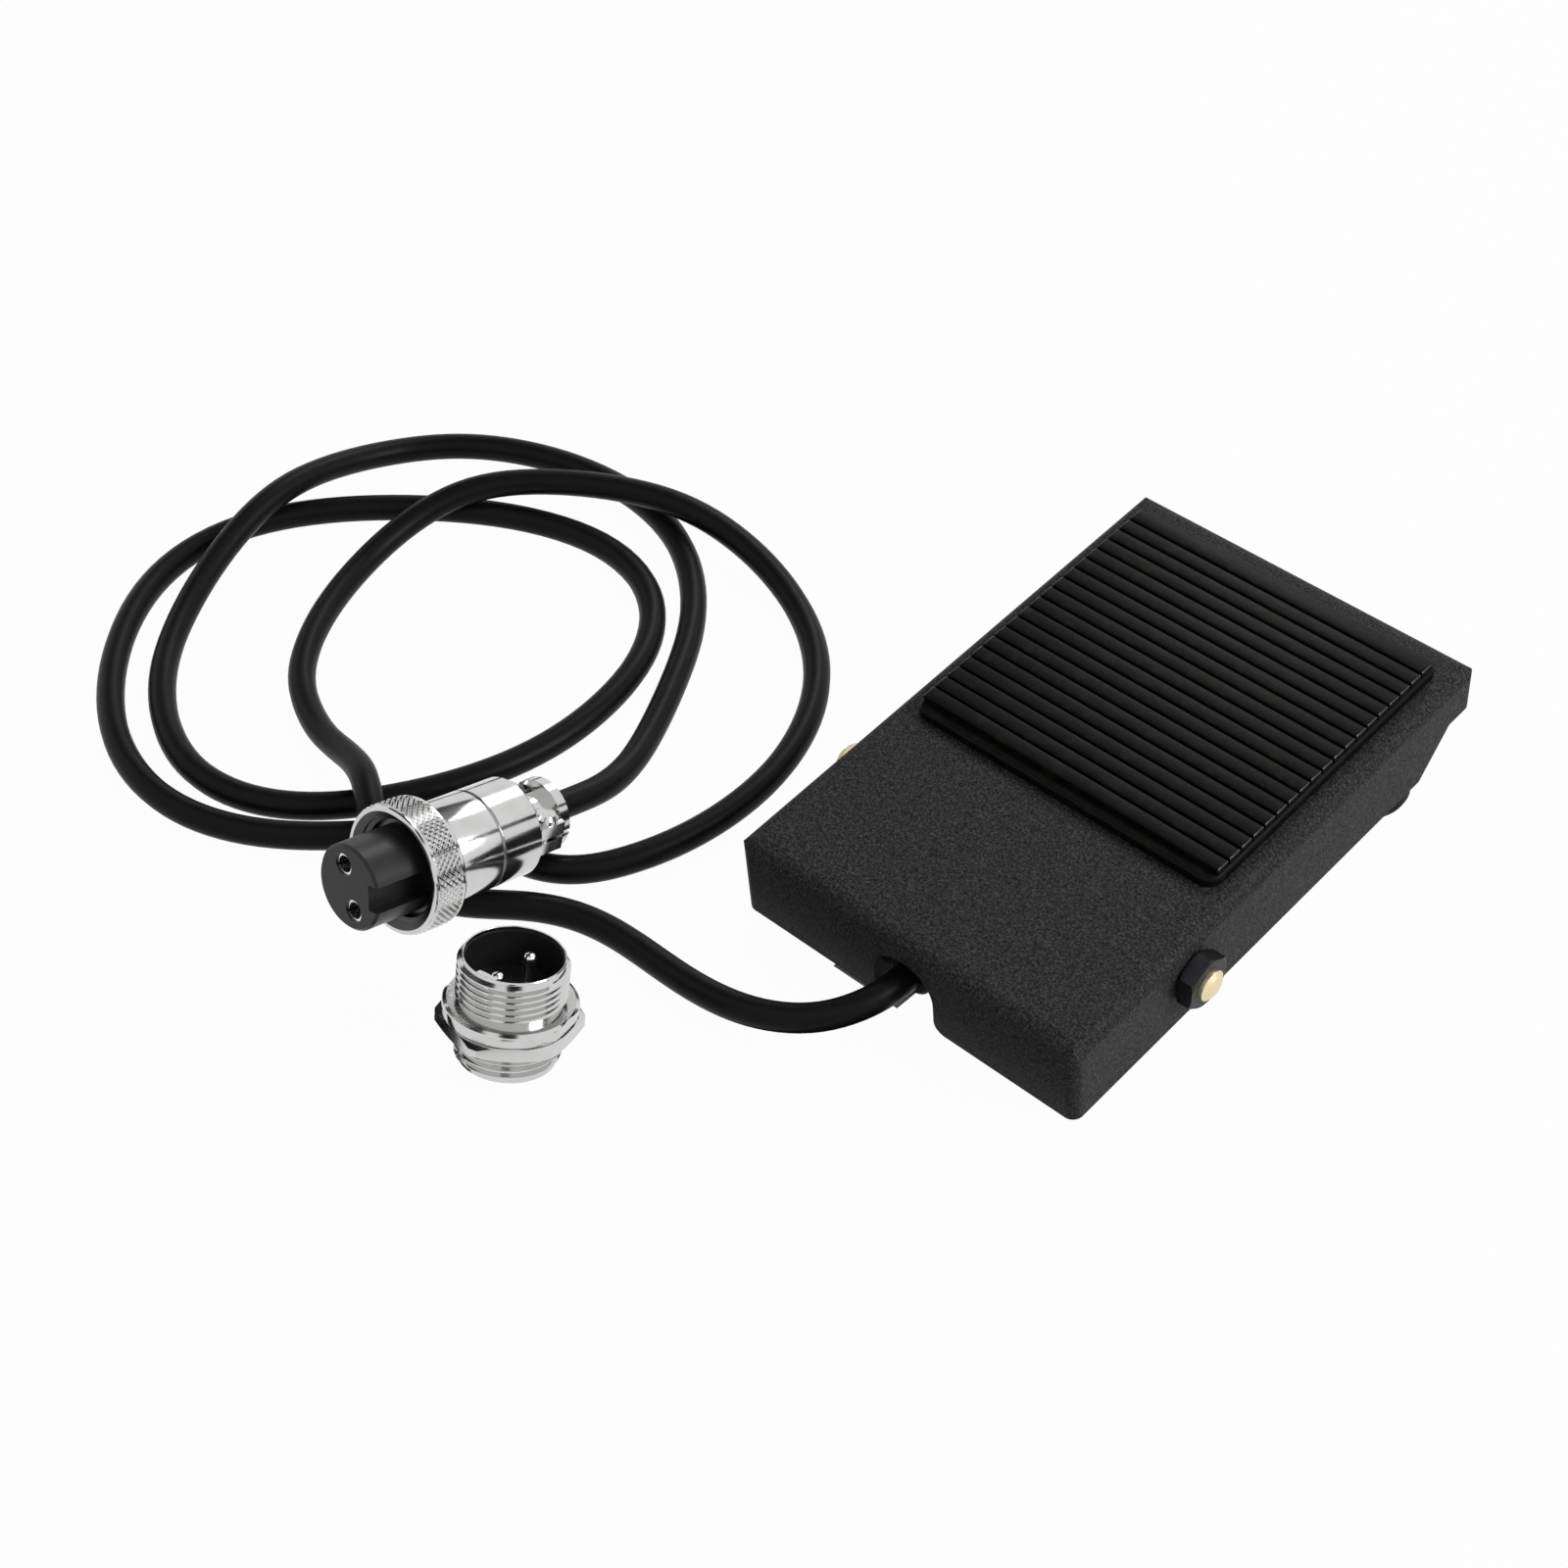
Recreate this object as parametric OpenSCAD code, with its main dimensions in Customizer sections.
// Foot pedal switch: a rocking sheet-steel pedal over a snap-action switch, with a cord,
// a two-pole screw-coupled plug, and the panel socket that the plug mates with.
// Millimetres. The pedal stands on z = 0, +X is the side of the pivot nut, +Y runs from the
// cable end to the tread end, and the origin is under the middle of the pedal.

/* [Pedal cover] */
// Length of the cover, cable end to tread end
cover_len = 96; // [90:1:106]
// Width of the cover over its skirts
cover_w = 63; // [60:1:70]
// Height of the cover's walls
cover_h = 15.2; // [14.8:0.1:17]
// Thickness of the sheet steel of cover and base
sheet = 1.2; // [0.8:0.1:1.5]
// Outside radius of the cover's bends
bend_r = 2.2; // [1.8:0.1:3]
// Radius of the cover's upright corners
corner_r = 1.8; // [1.6:0.1:3]
// Height of the wall at the tread end
end_wall_h = 8.3; // [6:0.1:9]
// Distance from the tread end at which the skirts start to rise
skirt_rise = 13; // [10:0.5:18]
// Distance from the tread end at which the skirts are level with the end wall
skirt_step = 6; // [4:0.5:8]
// Width of the cable notch in the cover
notch_w = 11.2; // [10:0.1:14]
// Height of the cable notch
notch_h = 11; // [10.6:0.1:12]
// Radius of the notch's lower corners
notch_lip_r = 2; // [1:0.1:3]

/* [Tread pad] */
// Width of the pad
pad_w = 56; // [48:1:58]
// Length of the pad
pad_len = 56.4; // [48:0.2:60]
// Distance of the pad from the tread end
pad_from_end = 4.6; // [3:0.1:8]
// Thickness of the pad over its ribs
pad_t = 2.8; // [2:0.1:4]
// Height of the ribs
rib_h = 1.1; // [0.6:0.1:1.6]
// Number of ribs
rib_count = 19; // [16:1:22]
// Plain lip in front of the first rib and behind the last
pad_lip = 1.8; // [1:0.1:4]
// Radius of the pad's corners
pad_corner_r = 2.4; // [1:0.1:5]

/* [Rocking motion] */
// Tilt of the cover at rest, in degrees
rest_tilt = 6; // [5.4:0.1:6.6]
// Angle that the cover turns through when pressed
press_angle = 4.5; // [3.8:0.1:4.8]
// Distance of the pivot from the cable end, along the cover
pivot_from_end = 26.2; // [24:0.1:30]
// Height of the pivot above the edge of the skirts
pivot_above_skirt = 8.3; // [7.8:0.1:9]
// Height of the pivot above the ground
pivot_z = 12; // [11.8:0.1:13]
// Diameter of the pivot bolt
pivot_d = 5; // [4:0.1:6]
// Width across the flats of the pivot nut
pivot_hex = 8; // [7:0.1:10]
// Height of the pivot nut
pivot_nut_h = 2.7; // [2:0.1:4]
// Diameter of the pivot bolt's round slotted head
pivot_head_d = 7.6; // [7.6:0.1:9]
// Height of the pivot bolt's head
pivot_head_h = 3.3; // [2.6:0.1:3.6]
// Length of bolt that stands out of the nut
pivot_end = 1.4; // [1:0.1:3]

/* [Base tray] */
// Height of the rubber feet under the base
foot_h = 4.4; // [4:0.1:5]
// Diameter of the rubber feet
foot_d = 16; // [12:0.5:18]
// Distance of the feet from the sides of the base
foot_side_inset = 8; // [8:0.1:12]
// Distance of the feet from the ends of the base
foot_inset = 8.4; // [8:0.1:14]
// Gap between the base's flanges and the cover's skirts
side_gap = 1.9; // [1.5:0.1:2.5]
// Gap between the ends of the base and the cover's walls
end_gap = 0.9; // [0.6:0.1:1.5]
// Outside radius of the base's bends
base_bend_r = 2; // [1.7:0.1:2.6]
// Height of the base's side flanges
flange_h = 6.5; // [5:0.1:7.5]
// Height of the flange at the cable end
cable_flange_h = 8.2; // [7.6:0.1:9]
// Height of the lip at the tread end
tread_lip_h = 5; // [3:0.1:6]
// Distance of the end flanges' ends from the base's sides
flange_relief = 5.4; // [4:0.1:8]
// Radius of the ears that hold the pivot bolt
ear_r = 4.8; // [4:0.1:5]

/* [Return spring and stops] */
// Distance of the spring from the tread end of the base
spring_from_end = 16.5; // [14:0.5:24]
// Mean diameter of the return spring
spring_d = 10.4; // [9.6:0.1:13]
// Diameter of the spring's wire
spring_wire = 1.3; // [0.8:0.1:1.6]
// Number of turns in the spring
spring_turns = 6; // [4:0.5:8]
// Diameter of the stop post
post_d = 6; // [4:0.1:7]
// Height of the rubber cap on the stop post
stop_cap_h = 2.4; // [1.5:0.1:4]
// Depth of the spring cup under the cover
cup_h = 2.4; // [1.6:0.1:3]
// Wall of the spring cup
cup_t = 0.8; // [0.6:0.1:1.2]
// Diameter of the rest bumpers
bumper_d = 6; // [4:0.1:7]
// Distance between the rest bumpers
bumper_span = 22; // [20:0.5:26]
// Distance of the rest bumpers from the cable end of the base
bumper_inset = 4.6; // [4.6:0.1:6]

/* [Snap-action switch] */
// Length of the switch case
case_len = 19.8; // [18:0.1:22]
// Width of the switch case
case_w = 6.4; // [5.6:0.1:7]
// Height of the switch case
case_h = 9.2; // [8.6:0.1:9.6]
// Distance of the case from the pedal's middle plane
case_x = 8; // [8:0.1:10]
// Distance of the case from the pivot, towards the tread
case_from_pivot = 13.4; // [11:0.1:16]
// Length of the lever, hinge to tip
lever_len = 15; // [13:0.1:17]
// Thickness of the lever's strip
lever_t = 0.4; // [0.3:0.05:0.5]
// Degrees that the lever turns for each degree of the pedal
lever_ratio = 2; // [1.9:0.05:2.1]
// Distance of the plunger from the lever's hinge
plunger_from_hinge = 6; // [5:0.1:7]
// Diameter of the plunger
plunger_d = 2; // [1.5:0.1:2.4]
// Distance between the case's two screw holes
case_hole_span = 9.5; // [8.5:0.1:10.5]

/* [Cord] */
// Diameter of the cord's jacket
cord_d = 4.5; // [4:0.1:4.6]
// Diameter of each lead inside the jacket
lead_d = 1.5; // [1.2:0.1:1.8]
// Distance of the jacket's end from the base's cable end
tail_len = 18; // [16.5:0.5:19]

/* [Plug] */
// Diameter of the plug's barrel and back shell
barrel_d = 15.5; // [15:0.1:15.9]
// Diameter of the plug's insert
insert_d = 13.2; // [12.8:0.1:13.8]
// Length of insert in front of the coupling ring
insert_reach = 8; // [7:0.1:10]
// Outside diameter of the coupling ring
ring_d = 20; // [19:0.1:20.4]
// Length of the coupling ring
ring_len = 5.9; // [5.8:0.1:7]
// Diameter of the coupling thread
thread_d = 16; // [16:0.5:17]
// Distance between the two poles of plug and socket
pole_span = 7; // [6.4:0.1:7.6]
// Diameter of the socket's pins
pin_d = 2; // [1.6:0.1:2.4]

/* [Panel socket] */
// Length of the socket from rim to rim
socket_len = 17; // [15:0.1:20]
// Length of the thread that takes the plug
socket_front = 7.3; // [6:0.1:9]
// Thickness of the socket's flange
socket_flange_t = 2; // [2:0.1:3]
// Diameter of the socket's flange
socket_flange_d = 19.5; // [18.5:0.1:21]
// Diameter of the thread that goes through the panel
socket_rear_d = 15.4; // [14.5:0.1:16]
// Width across the flats of the panel nut
socket_hex = 19; // [18:0.1:21]
// Height of the panel nut
socket_nut_h = 2.2; // [2:0.1:3.4]

/* [Hidden] */
$fn = 48;
// Clearances
running = 0.06;
apart = 0.3;
// Heights of the base
plate_top = foot_h + sheet;
flange_top = foot_h + flange_h;
// Inside of the cover, measured from the pivot
in_h = cover_h - sheet - pivot_above_skirt;
pressed_tilt = rest_tilt - press_angle;
// The pivot's place that puts the origin under the middle of the pedal
front_reach = pivot_from_end * cos(rest_tilt) + (cover_h - pivot_above_skirt) * sin(rest_tilt);
rear_reach = (cover_len - pivot_from_end) * cos(rest_tilt)
    - (cover_h - end_wall_h - pivot_above_skirt) * sin(rest_tilt);
pivot_y = (front_reach - rear_reach) / 2;
// Ends and width of the base
base_front = pivot_y - (pivot_from_end - sheet) * cos(rest_tilt) + pivot_above_skirt * sin(rest_tilt)
    + end_gap;
base_rear = pivot_y + rear_reach - sheet - end_gap / 2;
base_w = cover_w - 2 * sheet - 2 * side_gap;
end_flange_w = base_w - 2 * flange_relief;
base_in_r = base_bend_r - sheet;
// Stops
post_y = base_rear - spring_from_end;
bumper_y = base_front + bumper_inset;
cup_play = 0.6;
cup_in_d = spring_d + spring_wire + 2 * cup_play;
stop_top = under_top(post_y - post_d / 2, pressed_tilt) - cup_t - apart;
spring_bottom = plate_top;
spring_top = under_top(post_y - (spring_d + spring_wire) / 2, rest_tilt) - cup_t - apart;
bumper_top = under_top(bumper_y - bumper_d / 2, rest_tilt) - apart;
// Fasteners
m3_d = 3;
m3_head_d = 5.5;
m3_head_h = 2;
m3_nut = 5.5;
m3_nut_h = 2.4;
m3_spare = 0.6;
m2_d = 2;
m2_head_d = 3.8;
m2_head_h = 1.3;
m2_nut = 4;
m2_nut_h = 1.6;
hole_play = 0.1;
// Feet
foot_recess_d = 7.5;
foot_recess_h = 2.4;
foot_round = 0.9;
feet_at = [for (x = [-1, 1], y = [base_front + foot_inset, base_rear - foot_inset])
    [x * (base_w / 2 - foot_side_inset), y, 0]];
// Switch
case_lift = 0.4;
hinge_inset = 2;
eye_gap = 0.35;
case_y = pivot_y + case_from_pivot;
case_z = plate_top + case_lift;
case_top = case_z + case_h;
case_mid_x = case_x + case_w / 2;
hinge_y = case_y + hinge_inset;
eye_r = 0.85;
lever_pin_d = 0.9;
hinge_z = case_top + eye_r + eye_gap;
lever_rest = lever_ratio * press_angle;
lever_w = 4;
lever_neck = 2;
eye_w = 3;
hinge_ear_w = (case_w - eye_w) / 2 - apart;
hinge_ear_r = eye_r + lever_t;
finger_d = 4;
finger_from_tip = 1;
finger_y = hinge_y + lever_len - finger_from_tip;
finger_z = hinge_z + (finger_y + finger_d / 4 - hinge_y) * tan(lever_rest) + lever_t / 2 + eye_gap;
plunger_y = hinge_y + plunger_from_hinge;
plunger_top = hinge_z + (plunger_from_hinge - plunger_d / 4) * tan(lever_rest) - lever_t / 2 - apart;
plunger_travel = plunger_from_hinge * sin(lever_rest);
plunger_len = 4;
case_hole_h = 3.2;
case_hole_z = case_z + case_hole_h;
case_holes = [for (s = [-1, 1]) case_y + case_len / 2 + s * case_hole_span / 2];
terminal_t = 0.5;
terminal_w = 2.4;
terminal_len = 4.3;
terminal_span = 7.4;
terminal_hole_d = 1.1;
terminal_hole_inset = 1.4;
terminal_z = case_z + apart;
terminal_y = [for (i = [-1, 0, 1]) case_y + case_len / 2 + i * terminal_span];
bracket_t = 1.2;
bracket_h = 7.4;
bracket_foot = 9.6;
bracket_x = case_x + case_w;
rivet_d = 3;
rivet_head_d = 5;
rivet_head_h = 1.1;
rivet_inset = 5.8;
rivet_span = 11;
rivet_x = bracket_x + rivet_inset;
rivets_y = [for (s = [-1, 1]) case_y + case_len / 2 + s * rivet_span / 2];
// Cable
cord_lift = 0.15;
cord_z = plate_top + cord_d / 2 + cord_lift;
grommet_wall = 0.7;
grommet_neck_d = cord_d + 2 * grommet_wall;
grommet_t = 1.5;
grommet_d = grommet_neck_d + grommet_t;
grommet_bevel = 0.6;
exit_y = base_front - grommet_t;
tail_end = base_front + tail_len;
clamp_len = 8;
clamp_t = 1;
clamp_y = tail_end - clamp_len - clamp_t;
clamp_head_gap = 0.7;
clamp_screw_x = cord_d / 2 + clamp_t + m3_head_d / 2 + clamp_head_gap;
clamp_half_w = clamp_screw_x + m3_head_d / 2;
// Route of the cord on the ground: three loose turns, laid over each other at the crossings
cord_route = [
    [0, exit_y - running, cord_z], [0, -52.5, cord_z], [-4, -60, 6.6], [-12, -64.4, 5],
    [-21.5, -65.6, 3.5], [-31, -65.2, 2.6], [-40, -64.8, 2.3], [-48, -66.2, 2.3], [-54.8, -70, 2.3],
    [-60.4, -75.2, 2.3], [-66.6, -79, 2.4], [-73, -80, 4.2], [-78.6, -78.2, 7], [-83.8, -74.6, 8.8],
    [-89.6, -70.8, 8.2], [-96.6, -68.2, 5.4], [-104.4, -66.6, 3], [-112, -63.8, 2.3],
    [-120.5, -58.8, 2.3], [-128.5, -47.5, 2.3], [-133.5, -34.5, 2.5], [-134.5, -22, 4.8],
    [-131, -10.5, 7.8], [-123, -0.5, 7.6], [-111.5, 7.2, 7.6], [-99, 11.6, 7.5], [-86, 12.8, 4.5],
    [-74, 10, 2.4], [-62, 3, 2.3], [-52.5, -8, 2.3], [-47, -22, 2.3], [-46, -34.5, 2.3],
    [-47.2, -44.4, 2.3], [-50, -53, 2.3], [-54, -60, 2.3], [-60.4, -64, 2.3],
    [-68, -64.6, 2.3], [-75, -67.8, 2.3], [-81.4, -73.8, 2.3], [-89.2, -82.4, 2.3],
    [-99, -89.6, 2.3],
    [-111, -93.2, 2.3], [-124.5, -91.4, 2.3], [-137.5, -84.4, 2.3], [-149.5, -72.5, 2.3],
    [-157.6, -58.5, 2.3], [-158.6, -43.5, 2.3], [-151.8, -29.5, 2.3], [-140, -17, 2.3],
    [-125, -6, 2.3], [-107.5, -0.4, 2.3], [-92, -4.5, 2.3], [-82.2, -15.5, 2.3],
    [-77.8, -30, 2.3], [-77.3, -44, 2.3], [-80.5, -56.5, 2.3], [-86, -67.5, 2.3],
    [-93, -77.2, 2.3], [-102.5, -84, 2.3], [-114, -85.8, 2.3], [-125.5, -82.2, 2.3],
    [-137, -74, 2.3], [-146, -62, 2.5], [-151.5, -48.5, 5.4], [-154, -34.5, 8.2],
    [-155, -21.5, 5.8], [-153.5, -9, 2.8], [-147, 1, 2.3], [-136, 8, 2.3], [-122, 12, 2.3],
    [-107.5, 11.4, 2.3], [-94, 5.8, 2.3], [-82.2, -5, 2.3], [-74.8, -17, 2.3], [-69, -28, 2.3],
    [-64.6, -37.6, 2.8], [-62.4, -45.4, 4.6], [-62.4, -51.75, 6.36], [-62.62, -58.12, 8.06],
    [-62.84, -64.49, 9.77]
];
cord_rings = 80;
// Share of a span that the tube's first and last rings are apart, so that its ends are square
cord_end_step = 0.25;
cord_sides = 8;
// Leads from the jacket's end, under the pivot bolt, to the switch's first two terminals
lead_end_x = case_x - terminal_len + terminal_hole_inset;
lead_end_z = terminal_z + terminal_t + lead_d / 2;
lead_rings = 16;
lead_sides = 6;
// Plug, measured along its axis from the insert's face
plug_at = [-63.9, -94.8, 17.9];
plug_yaw = 2;
plug_pitch = 15;
ring_end = insert_reach + ring_len;
ring_lip = 1.8;
collar_len = 1.2;
collar_h = 0.5;
journal_d = barrel_d - 2 * collar_h;
barrel_start = ring_end - ring_lip - apart - collar_len;
groove_at = 23;
groove_w = 0.4;
groove_d = barrel_d - 2 * collar_h;
shell_end = 31;
plug_len = 38;
insert_tail_d = 11.6;
insert_tail_end = 19.5;
key_w = 4;
key_depth = 2.2;
// Turn of the poles about the plug's axis, and of the keyway from there
insert_turn = -28;
key_turn = 16;
contact_d = 3.4;
contact_wall = 0.4;
contact_slit = 0.4;
contact_len = 7;
contact_recess = 0.3;
strap_wall = 1.6;
strap_r = cord_d / 2 + strap_wall;
strap_bore_d = cord_d + apart;
strap_ear_t = 2.1;
strap_gap = 0.6;
strap_start = shell_end + strap_gap;
strap_rim_r = 5.6;
strap_rim_t = 1.7;
strap_rim_at = plug_len - strap_rim_t;
strap_screw_x = strap_r + apart;
strap_half_w = strap_screw_x + m2_head_d / 2;
strap_screw_at = (strap_start + strap_rim_at) / 2;
// Panel socket, measured along its axis from the rear rim
socket_at = [-35.4, -92];
socket_lean = 14.6;
socket_heading = 107;
// Turn of the poles and the key about the socket's axis
socket_turn = -11;
socket_wall = 0.9;
cavity_d = thread_d - 2 * socket_wall;
flange_at = socket_len - socket_front - socket_flange_t;
socket_insert_top = 10.5;
socket_insert_bottom = 2.5;
pin_recess = 1.5;
pin_top = socket_len - pin_recess;
pin_round = 0.6;
pin_tail_d = pin_d * 0.8;
tail_reach = (socket_rear_d - pin_tail_d - pole_span * cos(socket_turn)) / 2 * tan(socket_lean);
socket_nut_gap = 0.2;

// Height of the cover's underside over a place along the base, at a given tilt
function under_top(y, tilt) = pivot_z + (y - pivot_y) * tan(tilt) + in_h / cos(tilt);

// Distance along the cover, from its cable end, of a point given along and above the base
function along_cover(y, z) =
    pivot_from_end + (y - pivot_y) * cos(rest_tilt) + (z - pivot_z) * sin(rest_tilt);

// Point of a uniform cubic spline over a list of points that has one spare at each end
function spline_in(p, i, t) =
    (pow(1 - t, 3) * p[i] + (3 * t * t * t - 6 * t * t + 4) * p[i + 1]
    + (-3 * t * t * t + 3 * t * t + 3 * t + 1) * p[i + 2] + t * t * t * p[i + 3]) / 6;
function with_ends(p) =
    let (n = len(p)) concat([2 * p[0] - p[1]], p, [2 * p[n - 1] - p[n - 2]]);
function spline_at(p, u) =
    let (n = len(p) - 3, i = min(floor(u), n - 1)) spline_in(p, i, u - i);
function spline_points(p, steps) = let (q = with_ends(p)) [for (u = steps) spline_at(q, u)];
function even_steps(n, count) = [for (k = [0 : count - 1]) n * k / (count - 1)];

// Round tube along a list of points that never runs straight up
function unit(v) = v / norm(v);
function heading(p, k) = unit(p[min(k + 1, len(p) - 1)] - p[max(k - 1, 0)]);
module tube(p, d, sides) {
    rings = len(p);
    points = [for (k = [0 : rings - 1])
        let (along = heading(p, k), side = unit(cross(along, [0, 0, 1])), up = cross(side, along))
        for (s = [0 : sides - 1]) let (a = 360 * (s + 0.5) / sides)
            p[k] + d / 2 * (cos(a) * side + sin(a) * up)];
    walls = [for (k = [0 : rings - 2], s = [0 : sides - 1])
        let (a = k * sides + s, b = k * sides + (s + 1) % sides)
        each [[a, b, a + sides], [b, b + sides, a + sides]]];
    start = [[for (s = [0 : sides - 1]) sides - 1 - s]];
    finish = [[for (s = [0 : sides - 1]) (rings - 1) * sides + s]];
    polyhedron(points, concat(walls, start, finish), convexity = 10);
}

// Places
module in_cover() {
    translate([0, pivot_y, pivot_z]) rotate([rest_tilt, 0, 0])
        translate([0, -pivot_from_end, -pivot_above_skirt]) children();
}
module along_plug() {
    translate(plug_at) rotate([-plug_pitch, 0, -plug_yaw]) rotate([-90, 0, 0]) children();
}
module on_socket() {
    translate([socket_at[0], socket_at[1], socket_rear_d / 2 * sin(socket_lean)])
        rotate([0, socket_lean, socket_heading]) children();
}
module across(x) {
    translate([x, pivot_y, pivot_z]) rotate([0, 90, 0]) children();
}

// Sections
module arched_section(w, h, r) {
    translate([-w / 2, 0]) square([w, h - r]);
    translate([-w / 2 + r, 0]) square([w - 2 * r, h]);
    for (s = [-1, 1]) translate([s * (w / 2 - r), h - r]) circle(r);
}
module rounded_plan(w, l, r) {
    translate([-w / 2 + r, 0]) square([w - 2 * r, l]);
    translate([-w / 2, r]) square([w, l - 2 * r]);
    for (x = [-1, 1], y = [r, l - r]) translate([x * (w / 2 - r), y]) circle(r);
}
module tray_section(w, low, high, r) {
    translate([-w / 2, low + r]) square([w, high - low - r]);
    translate([-w / 2 + r, low]) square([w - 2 * r, r]);
    for (s = [-1, 1]) translate([s * (w / 2 - r), low + r]) circle(r);
}
module tray_wall(w, high) {
    difference() {
        tray_section(w, foot_h, high, base_bend_r);
        tray_section(w - 2 * sheet, plate_top, high + 1, base_in_r);
    }
}

// Fasteners that stand on z = 0 with their shank pointing down
module pan_screw(d, head_d, head_h, shank) {
    rotate_extrude() polygon([[0, -shank], [d / 2, -shank], [d / 2, 0], [head_d / 2, 0],
        [head_d / 2, head_h * 0.6], [head_d / 2 - head_h * 0.4, head_h], [0, head_h]]);
}
module hex_nut(d, hex, h) {
    difference() {
        intersection() {
            cylinder(d = hex / cos(30), h = h, $fn = 6);
            rotate_extrude() polygon([[0, 0], [hex / 2, 0], [hex / 2 + h / 2, h / 4],
                [hex / 2 + h / 2, h * 3 / 4], [hex / 2, h], [0, h]]);
        }
        translate([0, 0, -1]) cylinder(d = d, h = h + 2);
    }
}

// Pedal
module lid_block(w, l, h, r, corner) {
    intersection() {
        translate([0, l, 0]) rotate([90, 0, 0]) linear_extrude(l) arched_section(w, h, r);
        translate([-w / 2, l / 2, 0]) rotate([90, 0, 90]) linear_extrude(w) arched_section(l, h, r);
        linear_extrude(h) rounded_plan(w, l, corner);
    }
}
module cable_notch() {
    r = notch_w / 2;
    lip = notch_lip_r;
    rotate([90, 0, 0]) linear_extrude(4 * bend_r, center = true) {
        translate([0, notch_h - r]) circle(r);
        translate([-r, -1]) square([notch_w, notch_h - r + 1]);
        difference() {
            translate([-r - lip, -1]) square([notch_w + 2 * lip, lip + 1]);
            for (s = [-1, 1]) translate([s * (r + lip), lip]) circle(lip);
        }
    }
}
module skirt_cut() {
    step = cover_h - end_wall_h;
    translate([-cover_w, 0, 0]) rotate([90, 0, 90]) linear_extrude(2 * cover_w)
        polygon([[cover_len - skirt_rise, -1], [cover_len - skirt_rise, 0],
            [cover_len - skirt_step, step], [cover_len + 1, step], [cover_len + 1, -1]]);
}
module pedal_cover() {
    color("#3b3a3c") in_cover() difference() {
        lid_block(cover_w, cover_len, cover_h, bend_r, corner_r);
        translate([0, sheet, -1])
            lid_block(cover_w - 2 * sheet, cover_len - 2 * sheet, cover_h - sheet + 1,
                bend_r - sheet, corner_r - sheet);
        cable_notch();
        skirt_cut();
        translate([-cover_w, pivot_from_end, pivot_above_skirt]) rotate([0, 90, 0])
            cylinder(d = pivot_d + 2 * running, h = 2 * cover_w);
    }
}
module tread_pad() {
    pitch = (pad_len - 2 * pad_lip) / rib_count;
    land = pitch * 0.68;
    slope = pitch * 0.08;
    color("#1c1d1a") in_cover() translate([0, cover_len - pad_from_end - pad_len, cover_h])
        intersection() {
            linear_extrude(pad_t) rounded_plan(pad_w, pad_len, pad_corner_r);
            translate([-pad_w / 2, 0, 0]) rotate([90, 0, 90]) linear_extrude(pad_w) {
                square([pad_len, pad_t - rib_h]);
                square([pad_lip, pad_t - rib_h / 2]);
                translate([pad_len - pad_lip, 0]) square([pad_lip, pad_t - rib_h / 2]);
                for (i = [0 : rib_count - 1]) translate([pad_lip + (i + 0.5) * pitch, 0])
                    polygon([[-land / 2 - slope, 0], [land / 2 + slope, 0],
                        [land / 2 + slope, pad_t - rib_h], [land / 2, pad_t],
                        [-land / 2, pad_t], [-land / 2 - slope, pad_t - rib_h]]);
            }
        }
}
module press_finger() {
    top = under_top(finger_y, rest_tilt);
    reach = (top - finger_z) * cos(rest_tilt);
    round_h = min(0.5, reach / 2);
    color("#b9bbbd") in_cover()
        translate([case_mid_x, along_cover(finger_y, top), cover_h - sheet]) mirror([0, 0, 1])
            rotate_extrude() polygon([[0, 0], [finger_d / 2, 0], [finger_d / 2, reach - round_h],
                [finger_d / 2 - round_h, reach], [0, reach]]);
}
module spring_cup() {
    top = under_top(post_y, rest_tilt);
    rim = cup_in_d / 2 + cup_t;
    color("#8f9194") in_cover()
        translate([0, along_cover(post_y, top), cover_h - sheet]) mirror([0, 0, 1])
            rotate_extrude() polygon([[0, 0], [rim, 0], [rim, cup_h], [cup_in_d / 2, cup_h],
                [cup_in_d / 2, cup_t], [0, cup_t]]);
}

// Pivot
module pivot_bolt() {
    head_face = cover_w / 2 + apart;
    tip = cover_w / 2 + apart + pivot_nut_h + pivot_end;
    dome = pivot_d * 0.16;
    head_r = pivot_head_d / 2;
    round_r = (head_r * head_r + pivot_head_h * pivot_head_h) / (2 * pivot_head_h);
    slot_w = pivot_d / 5;
    slot_h = pivot_head_h * 0.45;
    color("#d8c48a") {
        across(-head_face - pivot_head_h) difference() {
            rotate_extrude() intersection() {
                square([head_r, pivot_head_h]);
                translate([0, round_r]) circle(round_r);
            }
            translate([-head_r, -slot_w / 2, -1]) cube([2 * head_r, slot_w, slot_h + 1]);
        }
        across(-head_face) rotate_extrude() polygon([[0, 0], [pivot_d / 2, 0],
            [pivot_d / 2, tip + head_face - dome], [pivot_d / 2 - dome, tip + head_face - dome / 3],
            [pivot_d / 2 - 2 * dome, tip + head_face], [0, tip + head_face]]);
    }
}
module pivot_nut() {
    color("#1d1d1f") across(cover_w / 2 + apart) hex_nut(pivot_d, pivot_hex, pivot_nut_h);
}
module ring_washer(bore, d, h) {
    difference() {
        cylinder(d = d, h = h);
        translate([0, 0, -1]) cylinder(d = bore, h = h + 2);
    }
}
module pivot_spacers() {
    thick = side_gap - apart;
    color("#e6e2d6") for (x = [base_w / 2, -base_w / 2 - thick])
        across(x) ring_washer(pivot_d + 2 * running, 2 * ear_r, thick);
}

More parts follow.
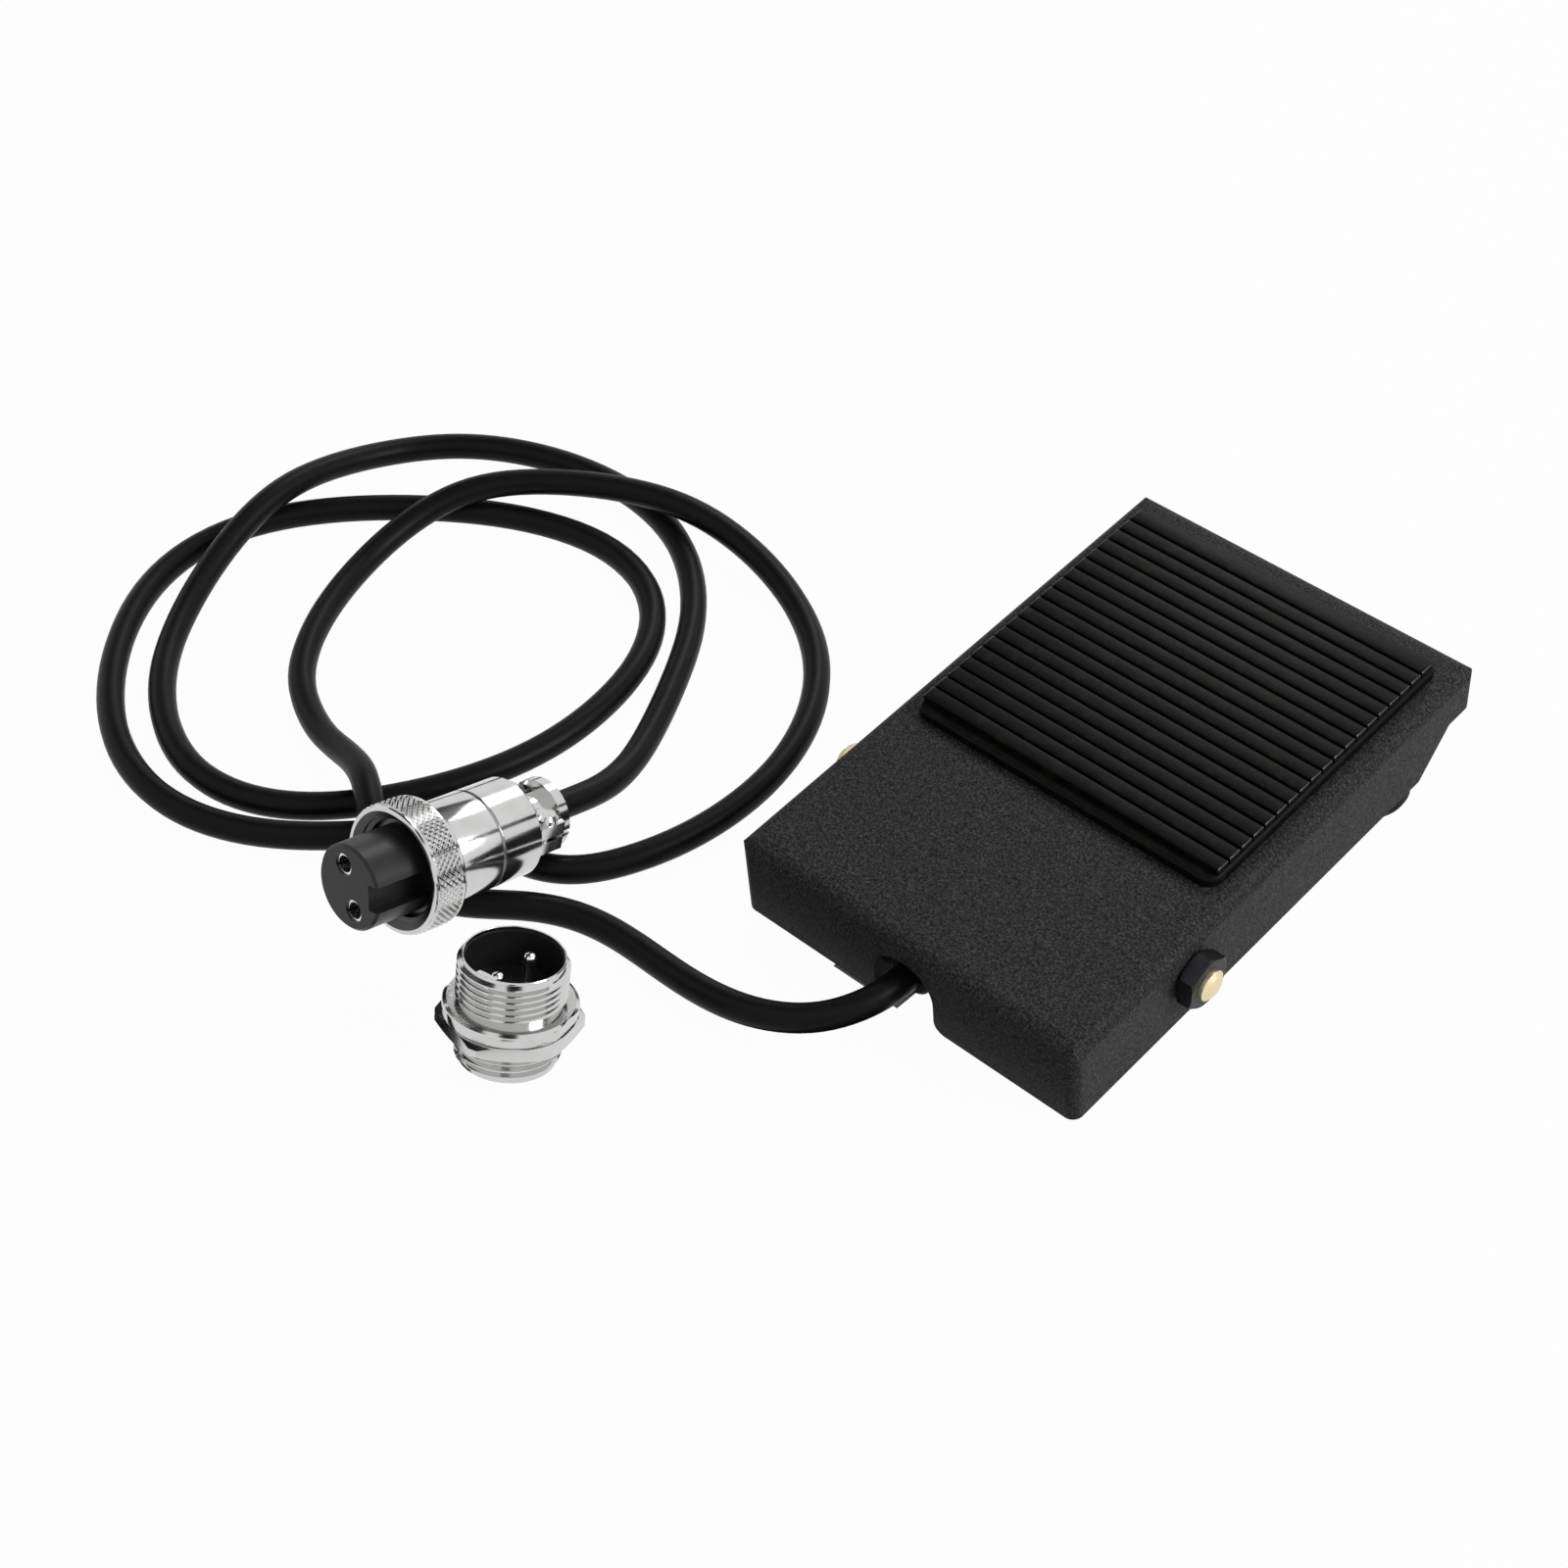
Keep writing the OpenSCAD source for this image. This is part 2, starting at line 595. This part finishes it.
// Base
module side_outline() {
    translate([-base_w, 0, 0]) rotate([90, 0, 90]) linear_extrude(2 * base_w) {
        polygon([[base_front, 0], [base_rear, 0], [base_rear, flange_top - base_bend_r],
            [base_rear - 2 * base_bend_r, flange_top], [pivot_y + 2 * ear_r, flange_top],
            [pivot_y + ear_r * 0.8, pivot_z + ear_r * 0.6], [pivot_y - ear_r * 0.8, pivot_z + ear_r * 0.6],
            [pivot_y - 2 * ear_r, flange_top], [base_front, flange_top]]);
        translate([pivot_y, pivot_z]) circle(ear_r);
    }
}
module end_outline() {
    translate([-base_w, 0, 0]) rotate([90, 0, 90]) linear_extrude(2 * base_w) {
        polygon([[base_front - 1, 0], [base_rear + 1, 0], [base_rear + 1, foot_h + tread_lip_h],
            [0, foot_h + tread_lip_h], [0, foot_h + cable_flange_h],
            [base_front - 1, foot_h + cable_flange_h]]);
    }
}
module base_tray() {
    length = base_rear - base_front;
    middle = (base_rear + base_front) / 2;
    color("#3a393b") difference() {
        union() {
            intersection() {
                translate([0, base_rear - base_bend_r, 0]) rotate([90, 0, 0])
                    linear_extrude(length - 2 * base_bend_r)
                        tray_wall(base_w, pivot_z + 2 * ear_r);
                side_outline();
            }
            intersection() {
                translate([-end_flange_w / 2, middle, 0]) rotate([90, 0, 90])
                    linear_extrude(end_flange_w) tray_wall(length, foot_h + 2 * cable_flange_h);
                end_outline();
            }
        }
        translate([-cover_w, pivot_y, pivot_z]) rotate([0, 90, 0])
            cylinder(d = pivot_d + 2 * running, h = 2 * cover_w);
        translate([0, base_front - 1, cord_z]) rotate([-90, 0, 0])
            cylinder(d = grommet_neck_d, h = 1 + base_bend_r);
        translate([-grommet_neck_d / 2, base_front - 1, cord_z])
            cube([grommet_neck_d, 1 + base_bend_r, 2 * cable_flange_h]);
        for (p = feet_at) translate(p) cylinder(d = m3_d + 2 * hole_play, h = plate_top + 1);
        for (s = [-1, 1]) {
            translate([s * clamp_screw_x, clamp_y + clamp_len / 2, 0])
                cylinder(d = m3_d + 2 * hole_play, h = plate_top + 1);
            translate([s * bumper_span / 2, bumper_y, 0]) cylinder(d = bumper_d / 2, h = plate_top + 1);
        }
        for (y = rivets_y) translate([rivet_x, y, 0]) cylinder(d = rivet_d, h = plate_top + 1);
        translate([0, post_y, 0]) cylinder(d = post_d * 2 / 3, h = plate_top + 1);
    }
}
module rubber_feet() {
    r = foot_d / 2;
    hole = m3_d / 2 + hole_play;
    recess = foot_recess_d / 2;
    color("#161616") for (p = feet_at) translate(p) rotate_extrude()
        polygon([[hole, foot_recess_h], [recess, foot_recess_h], [recess, 0],
            [r - foot_round * 1.4, 0], [r - foot_round * 0.4, foot_round * 0.4], [r, foot_round * 1.4],
            [r, foot_h - foot_round / 2], [r - foot_round / 2, foot_h], [hole, foot_h]]);
}
module foot_screws() {
    shank = plate_top + m3_nut_h + m3_spare - foot_recess_h;
    color("#b9bbbd") for (p = feet_at) translate([p[0], p[1], foot_recess_h]) mirror([0, 0, 1])
        pan_screw(m3_d, m3_head_d, m3_head_h, shank);
}
module foot_nuts() {
    color("#b9bbbd") for (p = feet_at) translate([p[0], p[1], plate_top])
        hex_nut(m3_d, m3_nut, m3_nut_h);
}

// Return spring and stops
module return_spring() {
    per_turn = 14;
    sides = 6;
    steps = spring_turns * per_turn;
    low = spring_bottom + spring_wire / 2;
    rise = spring_top - spring_bottom - spring_wire;
    flat = 0.75;
    helix = [for (k = [0 : steps])
        let (turn = k / per_turn, share = (turn - flat) / (spring_turns - 2 * flat))
        [spring_d / 2 * cos(360 * turn), post_y + spring_d / 2 * sin(360 * turn),
            low + rise * min(max(share, turn / spring_turns * 0.06), 0.94 + turn / spring_turns * 0.06)]];
    color("#a9abad") tube(helix, spring_wire, sides);
}
module stop_post() {
    shank = post_d / 3;
    rivet = 0.9;
    foot = spring_d / 2 - spring_wire / 2 - apart;
    foot_t = 1.6;
    color("#b4b6b8") translate([0, post_y, 0]) rotate_extrude()
        polygon([[0, foot_h - rivet], [shank * 1.6, foot_h - rivet], [shank * 1.6, foot_h],
            [shank, foot_h], [shank, plate_top], [foot, plate_top], [foot, plate_top + foot_t],
            [post_d / 2, plate_top + foot_t], [post_d / 2, stop_top - stop_cap_h],
            [0, stop_top - stop_cap_h]]);
}
module stop_cap() {
    r = post_d / 2;
    bevel = stop_cap_h / 4;
    color("#191919") translate([0, post_y, stop_top - stop_cap_h]) rotate_extrude()
        polygon([[0, 0], [r, 0], [r, stop_cap_h - bevel], [r - bevel, stop_cap_h], [0, stop_cap_h]]);
}
module rest_bumpers() {
    r = bumper_d / 2;
    tall = bumper_top - plate_top;
    stem = bumper_d / 4;
    barb = 0.6;
    bevel = 0.7;
    tip = r * 0.86;
    color("#191919") for (s = [-1, 1]) translate([s * bumper_span / 2, bumper_y, plate_top])
        rotate_extrude() polygon([[0, -sheet - barb], [stem + barb, -sheet - barb], [stem + barb, -sheet],
            [stem, -sheet], [stem, 0], [r, 0], [tip, tall - bevel], [tip - bevel, tall], [0, tall]]);
}

// Snap-action switch
module switch_bracket() {
    color("#b4b6b8") difference() {
        translate([0, case_y + case_len, 0]) rotate([90, 0, 0]) linear_extrude(case_len)
            translate([bracket_x, plate_top]) difference() {
                union() {
                    translate([0, bracket_t]) square([bracket_t, bracket_h - bracket_t]);
                    translate([bracket_t, 0]) square([bracket_foot - bracket_t, bracket_t]);
                    translate([bracket_t, bracket_t]) circle(bracket_t);
                }
                translate([bracket_t, bracket_t]) square([bracket_foot, bracket_h]);
            }
        for (y = case_holes) translate([bracket_x - 1, y, case_hole_z]) rotate([0, 90, 0])
            cylinder(d = m2_d + 2 * hole_play, h = bracket_t + 2);
        for (y = rivets_y) translate([rivet_x, y, plate_top - 1]) cylinder(d = rivet_d, h = bracket_t + 2);
    }
}
module bracket_rivets() {
    low = foot_h;
    high = plate_top + bracket_t;
    r = rivet_head_d / 2;
    color("#c2c4c6") for (y = rivets_y) translate([rivet_x, y, 0]) rotate_extrude()
        polygon([[0, low - rivet_head_h], [r * 0.6, low - rivet_head_h], [r, low - rivet_head_h * 0.3],
            [r, low], [rivet_d / 2, low], [rivet_d / 2, high], [r, high],
            [r, high + rivet_head_h * 0.3], [r * 0.6, high + rivet_head_h], [0, high + rivet_head_h]]);
}
module switch_case() {
    color("#26272a") difference() {
        union() {
            translate([case_x, case_y, case_z]) cube([case_w, case_len, case_h]);
            for (s = [-1, 1])
                translate([case_mid_x + s * (case_w - hinge_ear_w) / 2 - hinge_ear_w / 2, hinge_y, 0]) {
                    translate([0, 0, hinge_z]) rotate([0, 90, 0]) cylinder(r = hinge_ear_r, h = hinge_ear_w);
                    translate([0, -hinge_ear_r, case_top - 1])
                        cube([hinge_ear_w, 2 * hinge_ear_r, hinge_z - case_top + 1]);
                }
        }
        translate([case_x - 1, hinge_y, hinge_z]) rotate([0, 90, 0])
            cylinder(d = lever_pin_d, h = case_w + 2);
        translate([case_mid_x, plunger_y, plunger_top - plunger_len - plunger_travel - apart])
            cylinder(d = plunger_d + 2 * running, h = case_h);
        for (y = case_holes) translate([case_x - 1, y, case_hole_z]) rotate([0, 90, 0])
            cylinder(d = m2_d + 2 * hole_play, h = case_w + 2);
    }
}
module switch_terminals() {
    color("#c9b36a") for (y = terminal_y) difference() {
        translate([case_x - terminal_len, y - terminal_w / 2, terminal_z])
            cube([terminal_len, terminal_w, terminal_t]);
        translate([lead_end_x, y, terminal_z - 1]) cylinder(d = terminal_hole_d, h = terminal_t + 2);
    }
}
module lever_pin() {
    color("#c2c4c6") translate([case_x, hinge_y, hinge_z]) rotate([0, 90, 0])
        cylinder(d = lever_pin_d, h = case_w);
}
module switch_lever() {
    color("#cfd1d3") translate([case_mid_x, hinge_y, hinge_z]) rotate([lever_rest, 0, 0]) difference() {
        union() {
            translate([-eye_w / 2, 0, 0]) rotate([0, 90, 0]) cylinder(r = eye_r, h = eye_w);
            translate([-eye_w / 2, 0, -lever_t / 2]) cube([eye_w, eye_w, lever_t]);
            translate([-lever_w / 2, lever_neck, -lever_t / 2])
                cube([lever_w, lever_len - lever_neck, lever_t]);
        }
        translate([-eye_w, 0, 0]) rotate([0, 90, 0])
            cylinder(d = lever_pin_d + 2 * running, h = 2 * eye_w);
    }
}
module switch_plunger() {
    round_h = 0.4;
    color("#a83226") translate([case_mid_x, plunger_y, plunger_top - plunger_len]) rotate_extrude()
        polygon([[0, 0], [plunger_d / 2, 0], [plunger_d / 2, plunger_len - round_h],
            [plunger_d / 2 - round_h, plunger_len], [0, plunger_len]]);
}
module switch_screws() {
    shank = case_w + bracket_t + m2_nut_h + apart;
    color("#b9bbbd") for (y = case_holes) translate([case_x, y, case_hole_z]) rotate([0, -90, 0])
        pan_screw(m2_d, m2_head_d, m2_head_h, shank);
}
module switch_nuts() {
    color("#b9bbbd") for (y = case_holes) translate([bracket_x + bracket_t, y, case_hole_z])
        rotate([0, 90, 0]) hex_nut(m2_d, m2_nut, m2_nut_h);
}

// Cable inside the base
module cable_grommet() {
    inner = base_front + sheet;
    color("#151515") difference() {
        union() {
            translate([0, exit_y, cord_z]) rotate([-90, 0, 0]) rotate_extrude()
                polygon([[0, 0], [grommet_d / 2 - grommet_bevel, 0], [grommet_d / 2, grommet_bevel],
                    [grommet_d / 2, grommet_t], [0, grommet_t]]);
            translate([0, base_front, cord_z]) rotate([-90, 0, 0])
                cylinder(d = grommet_neck_d, h = sheet);
            difference() {
                translate([0, inner, cord_z]) rotate([-90, 0, 0]) cylinder(d = grommet_d, h = grommet_t);
                translate([-grommet_d, inner - 1, 0])
                    cube([2 * grommet_d, grommet_t + 2, plate_top + base_in_r]);
            }
        }
        translate([0, exit_y - 1, cord_z]) rotate([-90, 0, 0])
            cylinder(d = cord_d, h = 4 * grommet_t + sheet);
    }
}
module cable_tail() {
    color("#1a1a1a") translate([0, exit_y, cord_z]) rotate([-90, 0, 0])
        cylinder(d = cord_d, h = tail_end - exit_y);
}
module cable_clamp() {
    out_r = cord_d / 2 + clamp_t;
    color("#b4b6b8") difference() {
        translate([0, clamp_y + clamp_len, 0]) rotate([90, 0, 0]) linear_extrude(clamp_len)
            difference() {
                union() {
                    translate([0, cord_z]) circle(out_r);
                    translate([-out_r, plate_top]) square([2 * out_r, cord_z - plate_top]);
                    translate([-clamp_half_w, plate_top]) square([2 * clamp_half_w, clamp_t]);
                }
                translate([0, cord_z]) circle(cord_d / 2);
                translate([-cord_d / 2, 0]) square([cord_d, cord_z]);
                translate([-out_r, plate_top - cord_d]) square([2 * out_r, cord_d]);
            }
        for (s = [-1, 1]) translate([s * clamp_screw_x, clamp_y + clamp_len / 2, plate_top - 1])
            cylinder(d = m3_d + 2 * hole_play, h = clamp_t + 2);
    }
}
module clamp_screws() {
    color("#b9bbbd") for (s = [-1, 1])
        translate([s * clamp_screw_x, clamp_y + clamp_len / 2, plate_top + clamp_t])
            pan_screw(m3_d, m3_head_d, m3_head_h, clamp_t + sheet + m3_nut_h + apart);
}
module clamp_nuts() {
    color("#b9bbbd") for (s = [-1, 1])
        translate([s * clamp_screw_x, clamp_y + clamp_len / 2, foot_h - m3_nut_h])
            hex_nut(m3_d, m3_nut, m3_nut_h);
}
module lead(side, terminal, bow) {
    start_x = side * cord_d / 4;
    run = terminal - tail_end;
    sideways = lead_end_x - start_x;
    under_bolt = cord_z - cord_d / 8;
    route = [[start_x, tail_end, cord_z], [start_x, tail_end + run * 0.16, cord_z],
        [start_x + sideways * bow / 2, tail_end + run * 0.35, under_bolt],
        [start_x + sideways * bow, tail_end + run * 0.65, lead_end_z],
        [lead_end_x - 2 * lead_d, terminal - lead_d, lead_end_z], [lead_end_x, terminal, lead_end_z],
        [lead_end_x + lead_d, terminal, lead_end_z]];
    tube(spline_points(route, even_steps(len(route) - 1, lead_rings)), lead_d, lead_sides);
}
module lead_brown() {
    color("#6b4226") lead(1, terminal_y[0], 0.45);
}
module lead_blue() {
    color("#2c4f8f") lead(-1, terminal_y[1], 0.1);
}

// Cord and plug
module cord() {
    n = len(cord_route) - 1;
    between = [for (u = even_steps(n, cord_rings - 2)) if (u > 0 && u < n) u];
    steps = concat([0, cord_end_step], between, [n - cord_end_step, n]);
    color("#1a1a1a") tube(spline_points(cord_route, steps), cord_d, cord_sides);
}
module plug_insert() {
    r = insert_d / 2;
    tail = insert_tail_d / 2;
    bevel = 0.4;
    color("#2a2b2d") along_plug() rotate([0, 0, insert_turn]) difference() {
        rotate_extrude() polygon([[0, 0], [r - bevel, 0], [r, bevel], [r, barrel_start],
            [tail, barrel_start], [tail, insert_tail_end], [0, insert_tail_end]]);
        for (s = [-1, 1]) translate([0, s * pole_span / 2, -1])
            cylinder(d = contact_d, h = 1 + contact_recess + contact_len);
        rotate([0, 0, key_turn]) translate([r - key_depth, -key_w / 2, -1])
            cube([2 * key_depth, key_w, 1 + insert_reach + key_depth]);
    }
}
module plug_contacts() {
    color("#d9dadb") along_plug() rotate([0, 0, insert_turn]) for (s = [-1, 1])
        translate([0, s * pole_span / 2, contact_recess]) difference() {
            cylinder(d = contact_d, h = contact_len);
            translate([0, 0, -1]) cylinder(d = contact_d - 2 * contact_wall, h = contact_len);
            translate([-contact_d, -contact_slit / 2, -1])
                cube([2 * contact_d, contact_slit, contact_len - 1]);
        }
}
module coupling_ring() {
    r = ring_d / 2;
    bevel = 0.6;
    lead_in = 0.4;
    lip = ring_end - ring_lip;
    lip_r = journal_d / 2 + running;
    bore_r = thread_d / 2 + running;
    color("#c9cbcd") along_plug() rotate_extrude()
        polygon([[bore_r + lead_in, insert_reach], [r - bevel, insert_reach], [r, insert_reach + bevel],
            [r, ring_end - bevel], [r - bevel, ring_end], [lip_r, ring_end], [lip_r, lip],
            [bore_r, lip], [bore_r, insert_reach + lead_in]]);
}
module plug_barrel() {
    r = barrel_d / 2;
    journal = journal_d / 2;
    bore = insert_tail_d / 2;
    collar = barrel_start + collar_len;
    shoulder = ring_end + apart;
    color("#d2d4d6") along_plug() rotate_extrude()
        polygon([[bore, barrel_start], [r, barrel_start], [r, collar], [journal, collar],
            [journal, shoulder], [r, shoulder], [r, groove_at], [groove_d / 2, groove_at],
            [groove_d / 2, groove_at + groove_w], [0, groove_at + groove_w], [0, insert_tail_end],
            [bore, insert_tail_end]]);
}
module strap_half(side, start) {
    ear = side > 0 ? strap_gap / 2 : -strap_gap / 2 - strap_ear_t;
    half = side > 0 ? strap_gap / 2 : -strap_gap / 2 - strap_rim_r;
    difference() {
        union() {
            intersection() {
                union() {
                    translate([0, 0, start]) cylinder(r = strap_r, h = strap_rim_at - start);
                    translate([0, 0, strap_rim_at]) cylinder(r = strap_rim_r, h = plug_len - strap_rim_at);
                }
                translate([-strap_rim_r, half, start])
                    cube([2 * strap_rim_r, strap_rim_r, plug_len - start]);
            }
            translate([-strap_half_w, ear, start])
                cube([2 * strap_half_w, strap_ear_t, strap_rim_at - start]);
        }
        translate([0, 0, start - 1]) cylinder(d = strap_bore_d, h = plug_len);
        for (s = [-1, 1]) translate([s * strap_screw_x, 0, strap_screw_at]) rotate([90, 0, 0]) {
            cylinder(d = m2_d, h = 2 * strap_r, center = true);
            translate([0, 0, strap_gap / 2 + strap_ear_t])
                cylinder(d = m2_head_d + 2 * hole_play, h = strap_r);
        }
    }
}
module plug_back_shell() {
    r = barrel_d / 2;
    front = groove_at + groove_w;
    bevel = 0.7;
    color("#d2d4d6") along_plug() {
        rotate_extrude() polygon([[0, front], [r, front], [r, shell_end - bevel],
            [r - bevel, shell_end], [0, shell_end]]);
        strap_half(1, shell_end);
    }
}
module plug_clamp_saddle() {
    color("#d2d4d6") along_plug() strap_half(-1, strap_start);
}
module plug_clamp_screws() {
    shank = strap_ear_t + strap_gap + strap_ear_t;
    color("#c2c4c6") along_plug() for (s = [-1, 1])
        translate([s * strap_screw_x, -strap_gap / 2 - strap_ear_t, strap_screw_at]) rotate([90, 0, 0])
            pan_screw(m2_d, m2_head_d, m2_head_h, shank);
}

// Panel socket
module socket_shell() {
    rear = socket_rear_d / 2;
    flange = socket_flange_d / 2;
    front = thread_d / 2;
    cavity = cavity_d / 2;
    flange_top = flange_at + socket_flange_t;
    key_len = socket_len - socket_insert_top - pin_recess / 2;
    bevel = 0.5;
    color("#d2d4d6") on_socket() difference() {
        union() {
            rotate_extrude() polygon([[cavity, 0], [rear, 0], [rear, flange_at], [flange - bevel, flange_at],
                [flange, flange_at + bevel], [flange, flange_top - 2 * bevel],
                [flange - 2 * bevel, flange_top], [front, flange_top], [front, socket_len],
                [cavity, socket_len]]);
            rotate([0, 0, socket_turn]) intersection() {
                translate([-front, -key_w / 2 + apart, socket_insert_top])
                    cube([socket_wall + key_depth - apart, key_w - 2 * apart, key_len]);
                cylinder(r = front - socket_wall / 2, h = socket_len);
            }
        }
        for (s = [-1, 1]) translate([-flange, s > 0 ? flange - bevel : -2 * flange + bevel, flange_at - 1])
            cube([2 * flange, flange, socket_flange_t + 2]);
    }
}
module socket_insert() {
    color("#1d1e20") on_socket() translate([0, 0, socket_insert_bottom])
        cylinder(d = cavity_d, h = socket_insert_top - socket_insert_bottom);
}
module socket_pins() {
    r = pin_d / 2;
    color("#d9dadb") on_socket() rotate([0, 0, socket_turn]) for (s = [-1, 1])
        translate([s * pole_span / 2, 0, 0]) {
        rotate_extrude() polygon([[0, socket_insert_top], [r, socket_insert_top], [r, pin_top - pin_round],
            [r - pin_round, pin_top], [0, pin_top]]);
        translate([0, 0, -tail_reach]) cylinder(d = pin_tail_d, h = tail_reach + socket_insert_bottom);
    }
}
module socket_nut() {
    color("#c9cbcd") on_socket() translate([0, 0, flange_at - socket_nut_h - socket_nut_gap])
        hex_nut(socket_rear_d, socket_hex, socket_nut_h);
}

base_tray();
rubber_feet();
foot_screws();
foot_nuts();
pivot_bolt();
pivot_nut();
pivot_spacers();
stop_post();
stop_cap();
return_spring();
rest_bumpers();
switch_bracket();
bracket_rivets();
switch_case();
switch_terminals();
lever_pin();
switch_screws();
switch_nuts();
cable_grommet();
cable_tail();
cable_clamp();
clamp_screws();
clamp_nuts();
lead_brown();
lead_blue();
cord();
plug_insert();
plug_contacts();
plug_barrel();
plug_back_shell();
plug_clamp_saddle();
plug_clamp_screws();
socket_shell();
socket_insert();
socket_pins();
socket_nut();
pedal_cover();
tread_pad();
press_finger();
spring_cup();
switch_lever();
switch_plunger();
coupling_ring();
